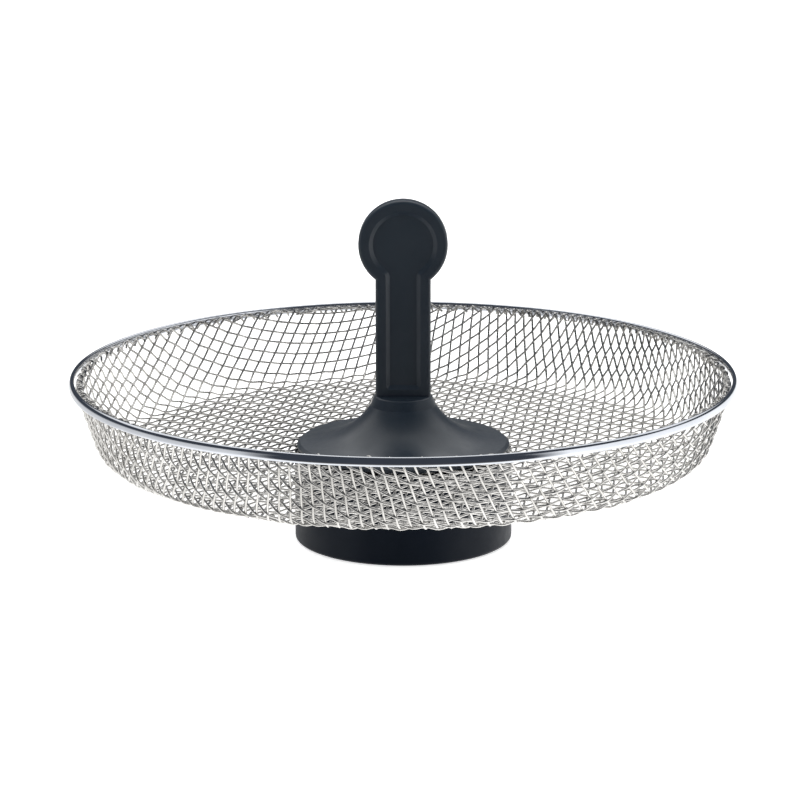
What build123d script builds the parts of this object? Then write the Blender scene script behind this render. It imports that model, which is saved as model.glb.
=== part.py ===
"""Round wire-mesh snack tray for a round-pan fryer.

A dished tray of woven wire with a steel hoop round its mouth is clamped between a flared plastic
hub, which carries an upright keyhole-shaped handle, and a hollow plastic skirt that stands round
the pan's centre post. Millimetres; Z is up, the handle's faces look along -Y and +Y, and the origin
is the middle of the circle on which the skirt stands.
"""

import math
import os

from build123d import *

os.makedirs("parts", exist_ok=True)

# Rim hoop
RIM_R = 112.5  # outside of the hoop
HOOP_TOP_Z = 57.6
HOOP_HEIGHT = 3.2
HOOP_DEPTH = 2.0  # radial, flattened on the inside where it lies against the cloth

# Woven cloth, as a shell about as thick as its two crossing wires
CLOTH = 1.4
FLOOR_Z = 30.2  # underside of the tray's floor
FOOT_R = 102.2  # where the wall's slope would meet the floor's underside
FOOT_FILLET = 9.0
LIP_R = 110.2  # outside of the upright lip
LIP_Z = 54.2  # bottom of the upright lip
LIP_TOP_Z = 56.9
HEM_WIDTH = 2.1  # the lip is folded double
HEM_ROUND = 1.0
CENTRE_HOLE_R = 26.0

# Handle
HEAD_Z = 101.3
HEAD_R = 15.0
SHANK_WIDTH = 18.6
BLADE = 6.4  # thickness
BLADE_EDGE = 1.1
PANEL_HEAD_R = 11.4
PANEL_WIDTH = 11.6
PANEL_FOOT_Z = 51.8
PANEL_DEPTH = 1.2
PANEL_NECK = 2.4  # fillet where the round part meets the straight one
PANEL_CORNER = 1.4
PANEL_DRAFT = 48.0
FOOT_DISC_Z = 46.0
FOOT_DISC_R = 11.1
FOOT_DISC_TOP_Z = 49.4
FOOT_DISC_TOP_R = 9.7
FOOT_DISC_EDGE = 0.8
TENON = (13.0, 4.4, 6.2)

# Hub
HUB_R = 36.0
HUB_FLANGE = 1.6
HUB_EDGE = (1.0, 0.2, 0.6)  # bevel round the flange: width, rise and drop
HUB_FLARE_R = 31.0
HUB_FLARE_Z = 33.9
HUB_CEILING_Z = 36.0
HUB_CEILING_R = 14.5
HUB_FLANK = (17.4, 39.2)  # radius and height of a point on the concave flare
SOCKET_PLAY = 0.1
SEAT_GAP = 0.05  # between clamped faces

# Clamp rings
RING = 0.8  # thickness
RING_INNER_R = 26.6
RING_OUTER_R = 33.0
RING_PLAY = 0.2
RING_EDGE = 0.3

# Skirt
SKIRT_R = 36.9
SKIRT_WALL = 2.6
SKIRT_WEB_Z = 24.2  # underside of the web
SKIRT_FOOT_OUTER = 1.0  # rounding of the foot
SKIRT_FOOT_INNER = 0.4
POST_HOLE_R = 15.0

# Screws
SCREW_COUNT = 4
SCREW_CIRCLE_R = 20.5
SCREW_R = 1.65
SCREW_HEAD_R = 3.2
SCREW_HEAD = 2.1
SCREW_SEAT_Z = 26.8
SCREW_LENGTH = 8.2
SCREW_TIP_ROOM = 0.4
SCREW_HEAD_PLAY = 0.4  # in the web's round seats
SCREW_WEB_PLAY = 0.3  # in the web's holes
BOSS_R = 3.6
HANDLE_SCREW_R = 1.5
HANDLE_SCREW_LENGTH = 12.0
HANDLE_SCREW_PLAY = 0.2  # in the hub's ceiling
HANDLE_PILOT = 9.0  # depth of the hole in the tenon
SCREW_PLAY = 0.06
SCREW_HEAD_EDGE = 0.9
CROSS = (3.6, 0.8, 1.1)

floor_top_z = FLOOR_Z + CLOTH
skirt_top_z = FLOOR_Z - SEAT_GAP
web_top_z = skirt_top_z - RING - SEAT_GAP
hub_seat_z = floor_top_z + SEAT_GAP
screw_places = PolarLocations(SCREW_CIRCLE_R, SCREW_COUNT, start_angle=45)


def level_edges(part, z):
    """Edges that lie at height z."""
    return part.edges().filter_by_position(Axis.Z, z - 0.01, z + 0.01)


# Tray: floor, rounded corner, sloping wall and upright lip in one sheet, with the edge folded inwards
with BuildPart() as mesh_basket:
    with BuildSketch(Plane.XZ) as tray_section:
        wall_slope = math.atan2(LIP_R - FOOT_R, LIP_Z - FLOOR_Z)
        inner_foot_r = FOOT_R - CLOTH * (1 / math.cos(wall_slope) - math.tan(wall_slope))
        inner_lip_z = LIP_Z + CLOTH * (1 - math.cos(wall_slope)) / math.sin(wall_slope)
        with BuildLine():
            Polyline(
                (CENTRE_HOLE_R, FLOOR_Z),
                (FOOT_R, FLOOR_Z),
                (LIP_R, LIP_Z),
                (LIP_R, LIP_TOP_Z),
                (LIP_R - CLOTH, LIP_TOP_Z),
                (LIP_R - CLOTH, inner_lip_z),
                (inner_foot_r, floor_top_z),
                (CENTRE_HOLE_R, floor_top_z),
                close=True,
            )
        make_face()
        outer_corner = tray_section.vertices().sort_by_distance((FOOT_R, FLOOR_Z, 0))[0]
        fillet(outer_corner, radius=FOOT_FILLET)
        inner_corner = tray_section.vertices().sort_by_distance((inner_foot_r, floor_top_z, 0))[0]
        fillet(inner_corner, radius=FOOT_FILLET - CLOTH)
    revolve(axis=Axis.Z)
    with BuildSketch(Plane.XZ) as hem_section:
        with Locations((LIP_R - HEM_WIDTH / 2, (LIP_TOP_Z + LIP_Z) / 2)):
            RectangleRounded(HEM_WIDTH, LIP_TOP_Z - LIP_Z, HEM_ROUND)
    revolve(axis=Axis.Z)

# Hoop: almost round wire, flattened on the inside
with BuildPart() as rim_hoop:
    with BuildSketch(Plane.XZ):
        with BuildLine():
            inner_r = RIM_R - HOOP_DEPTH
            low_z = HOOP_TOP_Z - HOOP_HEIGHT
            middle_z = HOOP_TOP_Z - HOOP_HEIGHT / 2
            half_flat = 0.45 * HOOP_HEIGHT
            Line((inner_r, middle_z - half_flat), (inner_r, middle_z + half_flat))
            Spline(
                (inner_r, middle_z + half_flat),
                (inner_r + HOOP_DEPTH / 3, HOOP_TOP_Z),
                (RIM_R, middle_z),
                (inner_r + HOOP_DEPTH / 3, low_z),
                (inner_r, middle_z - half_flat),
            )
        make_face()
    revolve(axis=Axis.Z)

# Handle: keyhole blade with a sunk panel on both faces, on a round foot with a tenon under it
with BuildPart() as handle:
    with BuildSketch(Plane.XZ):
        with Locations((0, HEAD_Z)):
            Circle(HEAD_R)
        with Locations((0, (FOOT_DISC_Z + HEAD_Z) / 2)):
            Rectangle(SHANK_WIDTH, HEAD_Z - FOOT_DISC_Z)
    extrude(amount=BLADE / 2, both=True)
    outline = handle.edges().filter_by_position(Axis.Y, -BLADE / 2 - 0.01, -BLADE / 2 + 0.01)
    outline += handle.edges().filter_by_position(Axis.Y, BLADE / 2 - 0.01, BLADE / 2 + 0.01)
    fillet(outline, radius=BLADE_EDGE)
    for side in (-1, 1):
        with BuildSketch(Plane((0, side * BLADE / 2, 0), x_dir=(-side, 0, 0), z_dir=(0, side, 0))) as panel:
            with Locations((0, HEAD_Z)):
                Circle(PANEL_HEAD_R)
            with Locations((0, (PANEL_FOOT_Z + HEAD_Z) / 2)):
                Rectangle(PANEL_WIDTH, HEAD_Z - PANEL_FOOT_Z)
            neck = panel.vertices().filter_by_position(Axis.Y, HEAD_Z - PANEL_HEAD_R, HEAD_Z)
            fillet(neck, radius=PANEL_NECK)
            fillet(panel.vertices().group_by(Axis.Y)[0], radius=PANEL_CORNER)
        extrude(amount=-PANEL_DEPTH, taper=PANEL_DRAFT, mode=Mode.SUBTRACT)
    with BuildSketch(Plane.XZ) as foot_section:
        Polygon(
            (0, FOOT_DISC_Z),
            (FOOT_DISC_R, FOOT_DISC_Z),
            (FOOT_DISC_TOP_R, FOOT_DISC_TOP_Z),
            (0, FOOT_DISC_TOP_Z),
            align=None,
        )
        top_edge = foot_section.vertices().sort_by_distance((FOOT_DISC_TOP_R, FOOT_DISC_TOP_Z, 0))[0]
        fillet(top_edge, radius=FOOT_DISC_EDGE)
    revolve(axis=Axis.Z)
    with BuildSketch(Plane.XY.offset(FOOT_DISC_Z)):
        Rectangle(TENON[0], TENON[1])
    extrude(amount=-TENON[2])
    with BuildSketch(Plane.XY.offset(FOOT_DISC_Z - TENON[2])):
        Circle(HANDLE_SCREW_R + SCREW_PLAY)
    extrude(amount=HANDLE_PILOT, mode=Mode.SUBTRACT)

# Hub: flared cone over the tray's centre hole, hollow below, with screw bosses
with BuildPart() as hub_cone:
    with BuildSketch(Plane.XZ):
        with BuildLine():
            Polyline(
                (HUB_FLARE_R, HUB_FLARE_Z),
                (HUB_R - HUB_EDGE[0], hub_seat_z + HUB_FLANGE + HUB_EDGE[1]),
                (HUB_R, hub_seat_z + HUB_FLANGE - HUB_EDGE[2]),
                (HUB_R, hub_seat_z),
                (RING_OUTER_R + RING_PLAY, hub_seat_z),
                (RING_OUTER_R + RING_PLAY, hub_seat_z + RING + SEAT_GAP),
                (CENTRE_HOLE_R, hub_seat_z + RING + SEAT_GAP),
                (HUB_CEILING_R, HUB_CEILING_Z),
                (0, HUB_CEILING_Z),
                (0, FOOT_DISC_Z),
                (FOOT_DISC_R, FOOT_DISC_Z),
            )
            ThreePointArc((FOOT_DISC_R, FOOT_DISC_Z), HUB_FLANK, (HUB_FLARE_R, HUB_FLARE_Z))
        make_face()
    revolve(axis=Axis.Z)
    with BuildSketch(Plane.XY.offset(web_top_z + SEAT_GAP)):
        with screw_places:
            Circle(BOSS_R)
    extrude(until=Until.NEXT)
    with BuildSketch(Plane.XY.offset(FOOT_DISC_Z)):
        Rectangle(TENON[0] + 2 * SOCKET_PLAY, TENON[1] + 2 * SOCKET_PLAY)
    extrude(amount=-TENON[2] - SOCKET_PLAY, mode=Mode.SUBTRACT)
    with BuildSketch(Plane.XY.offset(HUB_CEILING_Z)):
        Circle(HANDLE_SCREW_R + HANDLE_SCREW_PLAY)
    extrude(amount=FOOT_DISC_Z - HUB_CEILING_Z, mode=Mode.SUBTRACT)
    with BuildSketch(Plane.XY.offset(web_top_z + SEAT_GAP)):
        with screw_places:
            Circle(SCREW_R + SCREW_PLAY)
    extrude(amount=SCREW_SEAT_Z + SCREW_LENGTH + SCREW_TIP_ROOM - web_top_z - SEAT_GAP, mode=Mode.SUBTRACT)

# Thin steel rings above and below the cloth's cut edge
with BuildPart() as clamp_ring_upper:
    with BuildSketch(Plane.XY.offset(hub_seat_z)):
        Circle(RING_OUTER_R)
        Circle(RING_INNER_R, mode=Mode.SUBTRACT)
    extrude(amount=RING)
    fillet(level_edges(clamp_ring_upper, hub_seat_z + RING), radius=RING_EDGE)

with BuildPart() as clamp_ring_lower:
    with BuildSketch(Plane.XY.offset(skirt_top_z)):
        Circle(RING_OUTER_R)
        Circle(RING_INNER_R, mode=Mode.SUBTRACT)
    extrude(amount=-RING)
    fillet(level_edges(clamp_ring_lower, skirt_top_z - RING), radius=RING_EDGE)

# Skirt: hollow foot with a web that the screws pull up against the hub's bosses
with BuildPart() as base_skirt:
    with BuildSketch(Plane.XZ):
        skirt_inner_r = SKIRT_R - SKIRT_WALL
        Polygon(
            (skirt_inner_r, 0),
            (SKIRT_R, 0),
            (SKIRT_R, skirt_top_z),
            (RING_OUTER_R + RING_PLAY, skirt_top_z),
            (RING_OUTER_R + RING_PLAY, web_top_z),
            (POST_HOLE_R, web_top_z),
            (POST_HOLE_R, SKIRT_WEB_Z),
            (skirt_inner_r, SKIRT_WEB_Z),
            align=None,
        )
    revolve(axis=Axis.Z)
    foot_edges = level_edges(base_skirt, 0)
    fillet(foot_edges.sort_by(SortBy.RADIUS)[-1], radius=SKIRT_FOOT_OUTER)
    fillet(level_edges(base_skirt, 0).sort_by(SortBy.RADIUS)[0], radius=SKIRT_FOOT_INNER)
    with BuildSketch(Plane.XY.offset(SKIRT_WEB_Z)):
        with screw_places:
            Circle(SCREW_HEAD_R + SCREW_HEAD_PLAY)
    extrude(amount=SCREW_SEAT_Z - SKIRT_WEB_Z, mode=Mode.SUBTRACT)
    with BuildSketch(Plane.XY.offset(SKIRT_WEB_Z)):
        with screw_places:
            Circle(SCREW_R + SCREW_WEB_PLAY)
    extrude(amount=web_top_z - SKIRT_WEB_Z, mode=Mode.SUBTRACT)

# Four pan-head screws, driven up from inside the skirt
with BuildPart() as hub_screws:
    with BuildSketch(Plane.XY.offset(SCREW_SEAT_Z - SCREW_HEAD)):
        with screw_places:
            Circle(SCREW_HEAD_R)
    extrude(amount=SCREW_HEAD)
    fillet(level_edges(hub_screws, SCREW_SEAT_Z - SCREW_HEAD), radius=SCREW_HEAD_EDGE)
    with BuildSketch(Plane.XY.offset(SCREW_SEAT_Z)):
        with screw_places:
            Circle(SCREW_R)
    extrude(amount=SCREW_LENGTH)
    with BuildSketch(Plane.XY.offset(SCREW_SEAT_Z - SCREW_HEAD)):
        with screw_places:
            Rectangle(CROSS[0], CROSS[1])
            Rectangle(CROSS[1], CROSS[0])
    extrude(amount=CROSS[2], mode=Mode.SUBTRACT)

# One screw up through the hub's ceiling into the handle's tenon
with BuildPart() as handle_screw:
    with BuildSketch(Plane.XY.offset(HUB_CEILING_Z)):
        Circle(SCREW_HEAD_R)
    extrude(amount=-SCREW_HEAD)
    fillet(level_edges(handle_screw, HUB_CEILING_Z - SCREW_HEAD), radius=SCREW_HEAD_EDGE)
    with BuildSketch(Plane.XY.offset(HUB_CEILING_Z)):
        Circle(HANDLE_SCREW_R)
    extrude(amount=HANDLE_SCREW_LENGTH)
    with BuildSketch(Plane.XY.offset(HUB_CEILING_Z - SCREW_HEAD)):
        Rectangle(CROSS[0], CROSS[1])
        Rectangle(CROSS[1], CROSS[0])
    extrude(amount=CROSS[2], mode=Mode.SUBTRACT)

pieces = {
    "mesh_basket": mesh_basket,
    "rim_hoop": rim_hoop,
    "handle": handle,
    "hub_cone": hub_cone,
    "clamp_ring_upper": clamp_ring_upper,
    "clamp_ring_lower": clamp_ring_lower,
    "base_skirt": base_skirt,
    "hub_screws": hub_screws,
    "handle_screw": handle_screw,
}
for name, piece in pieces.items():
    piece.part.label = name
    export_step(piece.part, f"parts/{name}.step")
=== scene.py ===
"""Looks for the round wire-mesh snack tray.

Woven wires, a polished hoop, satin black plastic, the studio and the camera.
"""

import math

import bpy
import numpy as np
from mathutils import Matrix, Vector


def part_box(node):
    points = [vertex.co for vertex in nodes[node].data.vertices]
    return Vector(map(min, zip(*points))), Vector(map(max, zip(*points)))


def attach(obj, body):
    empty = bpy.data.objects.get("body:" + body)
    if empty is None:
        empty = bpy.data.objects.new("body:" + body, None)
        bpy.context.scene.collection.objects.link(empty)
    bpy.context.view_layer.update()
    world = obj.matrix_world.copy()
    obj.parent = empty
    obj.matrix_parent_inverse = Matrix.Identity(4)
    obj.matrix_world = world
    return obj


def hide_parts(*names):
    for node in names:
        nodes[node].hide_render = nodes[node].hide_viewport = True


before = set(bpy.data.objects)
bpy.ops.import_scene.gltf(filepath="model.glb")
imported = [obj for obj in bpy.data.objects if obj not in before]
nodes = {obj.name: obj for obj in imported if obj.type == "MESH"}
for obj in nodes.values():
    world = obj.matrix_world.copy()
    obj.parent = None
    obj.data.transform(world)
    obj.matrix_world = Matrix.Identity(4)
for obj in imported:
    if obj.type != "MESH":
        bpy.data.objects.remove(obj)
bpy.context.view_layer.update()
MM = 0.001

# ---------------------------------------------------------------- materials


def new_material(name):
    """An empty Principled material: (material, nodes, links, shader)."""
    m = bpy.data.materials.new(name)
    m.use_nodes = True
    return m, m.node_tree.nodes, m.node_tree.links, m.node_tree.nodes["Principled BSDF"]


def noise(ns, links, scale, detail=3.0, rough=0.55, stretch=(1, 1, 1)):
    """Noise in object space, in cycles per metre, stretched along an axis if wanted."""
    where = ns.new("ShaderNodeTexCoord")
    mapping = ns.new("ShaderNodeMapping")
    mapping.inputs["Scale"].default_value = stretch
    links.new(where.outputs["Object"], mapping.inputs["Vector"])
    n = ns.new("ShaderNodeTexNoise")
    n.inputs["Scale"].default_value = scale
    n.inputs["Detail"].default_value = detail
    n.inputs["Roughness"].default_value = rough
    links.new(mapping.outputs["Vector"], n.inputs["Vector"])
    return n.outputs["Fac"]


def ramp(ns, links, fac, stops):
    """A colour ramp from (position, colour or grey) stops."""
    r = ns.new("ShaderNodeValToRGB")
    e = r.color_ramp.elements
    while len(e) < len(stops):
        e.new(0.5)
    for el, (at, c) in zip(e, stops):
        el.position = at
        el.color = (c, c, c, 1) if isinstance(c, (int, float)) else (*c, 1)
    links.new(fac, r.inputs["Fac"])
    return r.outputs["Color"]


def bump(ns, links, height, strength, distance, after=None):
    b = ns.new("ShaderNodeBump")
    b.inputs["Strength"].default_value = strength
    b.inputs["Distance"].default_value = distance
    links.new(height, b.inputs["Height"])
    if after is not None:
        links.new(after, b.inputs["Normal"])
    return b.outputs["Normal"]


def steel(name, light, dark, rough, grain=900, stretch=(1, 1, 1), scratch=0.15):
    """Bright steel: patches a little duller than others, with fine drawing or polishing marks."""
    m, ns, links, shader = new_material(name)
    patches = noise(ns, links, 55, 3)
    links.new(ramp(ns, links, patches, [(0.35, dark), (0.65, light)]), shader.inputs["Base Color"])
    fine = noise(ns, links, grain, 4, 0.6, stretch)
    links.new(ramp(ns, links, fine, [(0.3, rough[0]), (0.7, rough[1])]), shader.inputs["Roughness"])
    shader.inputs["Metallic"].default_value = 1.0
    links.new(bump(ns, links, fine, scratch, 0.00005), shader.inputs["Normal"])
    return m


def plastic(name, light, dark, rough, gloss):
    """Moulded satin plastic: fine spark-eroded grain, faint flow mottling and a few rubbed patches."""
    m, ns, links, shader = new_material(name)
    flow = noise(ns, links, 38, 4, 0.6, (1, 1, 0.5))
    links.new(ramp(ns, links, flow, [(0.3, dark), (0.7, light)]), shader.inputs["Base Color"])
    rubbed = noise(ns, links, 120, 5, 0.65)
    links.new(ramp(ns, links, rubbed, [(0.32, rough[0]), (0.62, rough[1])]), shader.inputs["Roughness"])
    shader.inputs["Specular IOR Level"].default_value = gloss
    grain = noise(ns, links, 3200, 2, 0.5)
    waves = noise(ns, links, 160, 2, 0.5)
    soft = bump(ns, links, waves, 0.06, 0.0006)
    links.new(bump(ns, links, grain, 0.22, 0.00006, soft), shader.inputs["Normal"])
    return m


wire_steel = steel("wire_steel", (0.60, 0.59, 0.57), (0.46, 0.45, 0.43), (0.20, 0.32), 1500)
hoop_steel = steel(
    "hoop_steel", (0.54, 0.56, 0.60), (0.48, 0.50, 0.54), (0.05, 0.12), 700, (1, 1, 9), 0.05
)
plain_steel = steel("plain_steel", (0.62, 0.62, 0.61), (0.50, 0.50, 0.49), (0.25, 0.42), 1200)
black_plastic = plastic(
    "black_plastic", (0.016, 0.023, 0.032), (0.011, 0.017, 0.025), (0.28, 0.40), 0.40
)
# Painted shade: the skirt's plastic is the handle's black plastic made darker, bluer and less glossy,
# standing in for the shadow under the tray
skirt_plastic_painted_shade = plastic(
    "skirt_plastic_painted_shade", (0.0036, 0.0066, 0.0124), (0.0025, 0.0050, 0.0097), (0.36, 0.50), 0.10
)


def paint(node, material):
    """Puts a material on a carried-over CAD node."""
    for s in nodes[node].material_slots:
        s.material = material


for node, material in (
    ("handle", black_plastic),
    ("hub_cone", black_plastic),
    ("base_skirt", skirt_plastic_painted_shade),
    ("clamp_ring_upper", plain_steel),
    ("clamp_ring_lower", plain_steel),
    ("hub_screws", plain_steel),
    ("handle_screw", plain_steel),
):
    paint(node, material)


def mesh_object(name, verts, faces, material):
    """A smooth-shaded mesh object from numpy arrays."""
    me = bpy.data.meshes.new(name)
    me.from_pydata([tuple(v) for v in verts], [], [tuple(f) for f in faces])
    me.polygons.foreach_set("use_smooth", [True] * len(me.polygons))
    me.materials.append(material)
    me.update()
    o = bpy.data.objects.new(name, me)
    bpy.context.scene.collection.objects.link(o)
    return o


# ---------------------------------------------------------------- woven cloth

basket_low, basket_high = (Vector(v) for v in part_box("mesh_basket"))
WIRE = 0.80 * MM  # diameter
CLOTH = 1.4 * MM  # over two wires, which press into each other a little where they cross
SIDE = 4.34 * MM  # side of a diamond
DIAGONAL = math.radians(52.7)  # the diamonds' long diagonal in plan, from +X
HALF_ANGLE = math.radians(30.8)  # half of the diamonds' sharp angle
CORNER = 9.0 * MM
SLOPE = math.radians(18.0)
FOLD = 0.6 * MM  # radius of the folded edge, in the middle of the cloth
LIP = 2.9 * MM  # height of the upright lip
TUBE_SIDES = 6
STEEP_CRIMP = 0.14 * MM  # how far the straighter family swings about the middle of the cloth
FLAT_CRIMP = 0.36 * MM  # the other family bends round it
LIP_BEND = (0.8 * MM, 0.6 * MM)  # where the wall starts and ends its turn into the lip
FOLD_END = 0.3 * MM  # the folded edge's end above the foot of the lip
FOLD_LEAD = 2.5 * MM  # finer steps begin this far before the fold
RING_LAP = 5.2 * MM  # the cloth reaches this far in under the upper ring
WAVER = 0.10 * MM
DRIFT = 0.07 * MM  # how far single wires stray
CUT = 0.25 * MM  # unevenness of the cut ends
hole_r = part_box("clamp_ring_upper")[1][0] - RING_LAP


def tray_profile():
    """The middle of the cloth from the axis outwards, over the fold.

    Arrays of the length along it, the radius and the height.
    """
    floor_z = basket_low.z + CLOTH / 2
    lip_r = basket_high.x - CLOTH / 2
    top_z = basket_high.z - CLOTH / 4
    lip_z = basket_high.z - LIP
    wall = (lip_z - floor_z) * math.tan(SLOPE)
    foot_r = lip_r - wall
    radius = CORNER - CLOTH / 2
    tangent = radius * math.tan((math.pi / 2 - SLOPE) / 2)
    centre = Vector((foot_r - tangent, floor_z + radius))
    points = [Vector((0.0, floor_z)), Vector((centre.x, floor_z))]
    for k in range(1, 25):
        a = -math.pi / 2 + (math.pi / 2 - SLOPE) * k / 24
        points.append(centre + radius * Vector((math.cos(a), math.sin(a))))
    before, after = LIP_BEND
    points.append(Vector((lip_r - before * math.sin(SLOPE), lip_z - before * math.cos(SLOPE))))
    points.append(Vector((lip_r, lip_z + after)))
    for k in range(0, 13):
        a = math.pi * k / 12
        points.append(Vector((lip_r - FOLD + FOLD * math.cos(a), top_z - FOLD + FOLD * math.sin(a))))
    points.append(Vector((lip_r - 2 * FOLD, lip_z + FOLD_END)))
    p = np.array([tuple(v) for v in points])
    s = np.concatenate([[0], np.cumsum(np.linalg.norm(np.diff(p, axis=0), axis=1))])
    fine = np.linspace(0, s[-1], 4000)
    r, z = np.interp(fine, s, p[:, 0]), np.interp(fine, s, p[:, 1])
    kernel = np.ones(9) / 9
    r[4:-4], z[4:-4] = np.convolve(r, kernel, "valid"), np.convolve(z, kernel, "valid")
    return fine, r, z


prof_s, prof_r, prof_z = tray_profile()
prof_nr = np.gradient(prof_z, prof_s)
prof_nz = -np.gradient(prof_r, prof_s)
sheet_end = prof_s[-1]
fold_start = prof_s[np.argmax(prof_z)] - FOLD_LEAD


def pressed(flat):
    """Where the flat sheet's points end up: (length along the profile, azimuth).

    The floor stays flat. Towards and up the wall the diamonds lean over, as cloth does when it is
    gathered into a dish: two waves and four waves round the tray, growing with the radius.
    """
    rho = np.linalg.norm(flat, axis=1)
    theta = np.arctan2(flat[:, 1], flat[:, 0])
    turn = 2 * (theta - DIAGONAL)
    grow = (rho / (115 * MM)) ** 4.7
    along = rho * (1 + grow * (0.0075 - 0.0088 * np.cos(turn) + 0.0232 * np.cos(2 * turn)))
    azimuth = theta - grow * (0.0191 * np.sin(turn) + 0.0085 * np.sin(2 * turn))
    return along, azimuth


def onto_tray(along, azimuth):
    """Points on the middle of the cloth: (positions, outward normals)."""
    unit = np.column_stack([np.cos(azimuth), np.sin(azimuth)])
    r, z, nr, nz = (np.interp(along, prof_s, p) for p in (prof_r, prof_z, prof_nr, prof_nz))
    places = np.column_stack([unit * r[:, None], z])
    normals = np.column_stack([unit * nr[:, None], nz])
    return places, normals / np.linalg.norm(normals, axis=1)[:, None]


def waver(flat):
    """Small unevenness of a sheet that has been cut and pressed."""
    x, y = flat[:, 0] / 0.03, flat[:, 1] / 0.03
    dx = np.sin(1.3 * x + 0.7 * y + 0.4) + 0.6 * np.sin(2.1 * y - 1.1 * x + 2.0)
    dy = np.sin(1.1 * y - 0.8 * x + 1.7) + 0.6 * np.sin(1.9 * x + 1.3 * y + 0.9)
    return flat + WAVER * np.column_stack([dx, dy])


def tube(places, normals, first):
    """Vertices and faces of a closed round tube along a line of points on the cloth."""
    ring = np.linspace(0, 2 * math.pi, TUBE_SIDES, endpoint=False)
    tangent = np.gradient(places, axis=0)
    tangent /= np.linalg.norm(tangent, axis=1)[:, None]
    side = np.cross(tangent, normals)
    side /= np.linalg.norm(side, axis=1)[:, None]
    up = np.cross(side, tangent)
    circle = (
        places[:, None, :]
        + WIRE / 2 * np.cos(ring)[None, :, None] * up[:, None, :]
        + WIRE / 2 * np.sin(ring)[None, :, None] * side[:, None, :]
    )
    n = len(places)
    faces = []
    for k in range(n - 1):
        for j in range(TUBE_SIDES):
            p = first + k * TUBE_SIDES + j
            q = first + k * TUBE_SIDES + (j + 1) % TUBE_SIDES
            faces.append((p, q, q + TUBE_SIDES, p + TUBE_SIDES))
    faces.append(tuple(first + j for j in reversed(range(TUBE_SIDES))))
    faces.append(tuple(first + (n - 1) * TUBE_SIDES + j for j in range(TUBE_SIDES)))
    return circle.reshape(-1, 3), faces


def wire_family(name, along_angle, across_angle, swing, seed):
    """All the wires of one direction as tubes that pass over and under the other family."""
    rng = np.random.default_rng(seed)
    a = np.array([math.cos(along_angle), math.sin(along_angle)])
    b = np.array([math.cos(across_angle), math.sin(across_angle)])
    verts, faces = [], []
    reach = 1.08 * sheet_end
    fine_step = SIDE / 16
    count = int(reach / (SIDE * abs(math.sin(along_angle - across_angle)))) + 1
    steps = np.arange(-int(1.2 * reach / fine_step), int(1.2 * reach / fine_step))
    for i in range(-count, count + 1):
        start = b * SIDE * i
        drift = rng.normal(0, DRIFT, 2)
        end = sheet_end - abs(rng.normal(0, CUT))
        along_shift = start @ a
        t = steps * fine_step - round(along_shift / SIDE) * SIDE
        length, azimuth = pressed(waver(start + drift + a[None, :] * t[:, None]))
        inside = (length > hole_r) & (length < end)
        wanted = inside & ((steps % 4 == 0) | (length > fold_start))
        chosen = np.flatnonzero(wanted)
        if len(chosen) < 2:
            continue
        breaks = np.flatnonzero(np.diff(chosen) > 4) + 1
        for run in np.split(chosen, breaks):
            if len(run) < 4:
                continue
            places, normals = onto_tray(length[run], azimuth[run])
            crimp = swing * np.cos(math.pi * (t[run] / SIDE + i))
            v, f = tube(places + normals * crimp[:, None], normals, len(verts))
            verts.extend(v)
            faces.extend(f)
    piece = mesh_object(name, verts, faces, wire_steel)
    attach(piece, "root")
    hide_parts("mesh_basket")
    return piece


wire_family("woven_wires_steep", DIAGONAL + HALF_ANGLE, DIAGONAL - HALF_ANGLE, STEEP_CRIMP, 3)
wire_family("woven_wires_flat", DIAGONAL - HALF_ANGLE, DIAGONAL + HALF_ANGLE, -FLAT_CRIMP, 4)

# ---------------------------------------------------------------- rim hoop


def lathe(name, section, segments, material):
    """A closed section of (radius, height) points turned about Z."""
    angle = np.linspace(0, 2 * math.pi, segments, endpoint=False)
    sec = np.array(section)
    x, y = np.outer(np.cos(angle), sec[:, 0]), np.outer(np.sin(angle), sec[:, 0])
    z = np.tile(sec[:, 1], (segments, 1))
    verts = np.stack([x, y, z], axis=2).reshape(-1, 3)
    n = len(sec)
    faces = []
    for i in range(segments):
        here, there = i * n, (i + 1) % segments * n
        faces.extend((here + j, there + j, there + (j + 1) % n, here + (j + 1) % n) for j in range(n))
    return mesh_object(name, verts, faces, material)


hoop_low, hoop_high = (Vector(v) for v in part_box("rim_hoop"))
HOOP_HALF_DEPTH = 0.85 * MM
HOOP_TILT = math.radians(12)  # the flattened wire leans in at the top, as the lip does
hoop_half_height = (hoop_high.z - hoop_low.z) / 2 - 0.08 * MM
hoop_middle = Vector((hoop_high.x - 1.02 * MM, (hoop_low.z + hoop_high.z) / 2))


def hoop_point(a):
    """A point of the hoop's rounded-oblong section at parameter a, as (radius, height)."""
    c, d = math.cos(a), math.sin(a)
    x = HOOP_HALF_DEPTH * math.copysign(abs(c) ** 0.8, c)
    y = hoop_half_height * math.copysign(abs(d) ** 0.8, d)
    tilt = Matrix.Rotation(HOOP_TILT, 2)
    return tuple(hoop_middle + tilt @ Vector((x, y)))


hoop_section = [hoop_point(2 * math.pi * k / 28) for k in range(28)]
hoop = lathe("polished_hoop", hoop_section, 256, hoop_steel)
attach(hoop, "root")
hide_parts("rim_hoop")

# ---------------------------------------------------------------- floor, light, camera

floor_mesh = bpy.data.meshes.new("floor")
floor_mesh.from_pydata([(-4, -4, 0), (4, -4, 0), (4, 6, 0), (-4, 6, 0)], [], [(0, 1, 2, 3)])
floor = bpy.data.objects.new("floor", floor_mesh)
floor.location.z = -0.0002
bpy.context.scene.collection.objects.link(floor)
floor_material, ns, links, shader = new_material("pale_floor")
shader.inputs["Base Color"].default_value = (0.85, 0.85, 0.85, 1)
shader.inputs["Roughness"].default_value = 0.7
shader.inputs["Emission Color"].default_value = (1, 1, 1, 1)
shader.inputs["Emission Strength"].default_value = 0.65
floor_mesh.materials.append(floor_material)
floor.visible_glossy = False  # the world has its own white table


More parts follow.
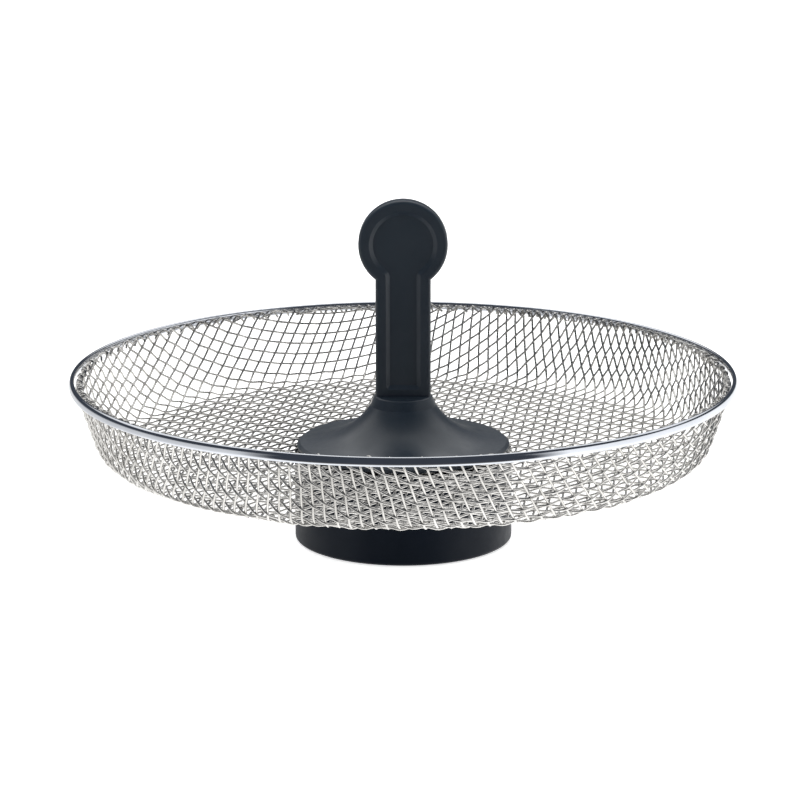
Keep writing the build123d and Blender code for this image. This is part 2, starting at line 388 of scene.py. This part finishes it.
def area_light(name, place, target, size, power):
    """A square soft light that faces a target; lengths in metres, power in watts."""
    data = bpy.data.lights.new(name, "AREA")
    data.energy = power
    data.size = size
    light = bpy.data.objects.new(name, data)
    light.location = place
    light.rotation_euler = (Vector(target) - Vector(place)).to_track_quat("-Z", "Y").to_euler()
    light.visible_glossy = False  # the world holds what metal and gloss reflect
    bpy.context.scene.collection.objects.link(light)


area_light("key_left", (-0.9, -0.7, 1.1), (0, 0, 0.05), 0.9, 10)
area_light("fill_right", (1.1, -0.4, 0.9), (0, 0, 0.05), 0.8, 6)
area_light("overhead", (0.1, 0.5, 1.6), (0, 0, 0.05), 1.4, 16)

world = bpy.data.worlds.new("studio")
bpy.context.scene.world = world
world.use_nodes = True
wn, wl = world.node_tree.nodes, world.node_tree.links
coords = wn.new("ShaderNodeTexCoord")
split = wn.new("ShaderNodeSeparateXYZ")
wl.new(coords.outputs["Generated"], split.inputs["Vector"])


def calculated(operation, first, *others):
    """A math node's result; the other inputs are constants or sockets."""
    n = wn.new("ShaderNodeMath")
    n.operation = operation
    wl.new(first, n.inputs[0])
    for socket, value in zip(list(n.inputs)[1:], others):
        if isinstance(value, (int, float)):
            socket.default_value = value
        else:
            wl.new(value, socket)
    return n.outputs[0]


def by_height(height, stops):
    """Colours by a height from -1 straight down to 1 straight up."""
    places = [(0.5 + 0.5 * z, c) for z, c in stops]
    return ramp(wn, wl, calculated("MULTIPLY_ADD", height, 0.5, 0.5), places)


def mixed(fac, first, second):
    """A blend of two colours, each a constant or a socket."""
    n = wn.new("ShaderNodeMixRGB")
    wl.new(fac, n.inputs["Fac"])
    for socket, value in ((n.inputs["Color1"], first), (n.inputs["Color2"], second)):
        if isinstance(value, tuple):
            socket.default_value = value
        else:
            wl.new(value, socket)
    return n.outputs["Color"]


# What metal and gloss reflect: a white table, which is dark on the camera's own side except close
# by and falls away towards the back and left; a dim room level with the tray; and a white sweep
# high at the back
dim = (0.07, 0.08, 0.10)
level = split.outputs["Z"]
front = by_height(level, [(-0.70, 1.8), (-0.45, 0.40), (-0.28, 0.10), (-0.10, dim), (1.0, dim)])
sloping = calculated("MULTIPLY_ADD", split.outputs["Y"], 0.24, level)
sloping = calculated("MULTIPLY_ADD", split.outputs["X"], -0.08, sloping)
left = by_height(sloping, [(-0.55, 1.8), (-0.25, 1.2), (0.13, 1.0), (0.21, dim)])
right = by_height(sloping, [(-0.55, 2.2), (-0.25, 1.8), (0.13, 1.6), (0.21, dim)])
across = calculated("MULTIPLY_ADD", split.outputs["X"], 0.5, 0.5)
around = mixed(ramp(wn, wl, across, [(0.5, 0.0), (0.9, 1.0)]), left, right)
depth = calculated("MULTIPLY_ADD", split.outputs["Y"], 0.5, 0.5)
room = mixed(ramp(wn, wl, depth, [(0.14, 0.0), (0.225, 1.0)]), front, around)
backward = calculated("MULTIPLY_ADD", split.outputs["Y"], 0.87, calculated("MULTIPLY", level, 0.5))
behind = ramp(wn, wl, backward, [(0.38, 0.0), (0.50, 1.0)])
sweep = calculated("MULTIPLY", behind, ramp(wn, wl, level, [(0.34, 0.0), (0.50, 1.0)]))
room = mixed(sweep, room, (1.5, 1.5, 1.5, 1))
seen = wn.new("ShaderNodeLightPath")
wl.new(mixed(seen.outputs["Is Camera Ray"], room, (1.0, 1.0, 1.0, 1)), wn["Background"].inputs["Color"])

camera_data = bpy.data.cameras.new("camera")
camera = bpy.data.objects.new("camera", camera_data)
bpy.context.scene.collection.objects.link(camera)
bpy.context.scene.camera = camera
DISTANCE = 1.05
ELEVATION = math.radians(14.05)
ROLL = math.radians(-0.1)
AIM_Z = 47.5 * MM
AIM_X = -1.1 * MM
FRAME_WIDTH = 270.64 * MM  # what the picture spans at the tray's axis
SENSOR = 36.0  # millimetres
camera_data.sensor_width = SENSOR
camera_data.lens = SENSOR * DISTANCE / FRAME_WIDTH
camera_data.clip_start = 0.05
aim = Vector((AIM_X, 0, AIM_Z))
camera.location = aim + DISTANCE * Vector((0, -math.cos(ELEVATION), math.sin(ELEVATION)))
camera.rotation_euler = (
    Matrix.Rotation(math.pi / 2 - ELEVATION, 3, "X") @ Matrix.Rotation(ROLL, 3, "Z")
).to_euler()

bpy.context.scene.view_settings.view_transform = "Standard"
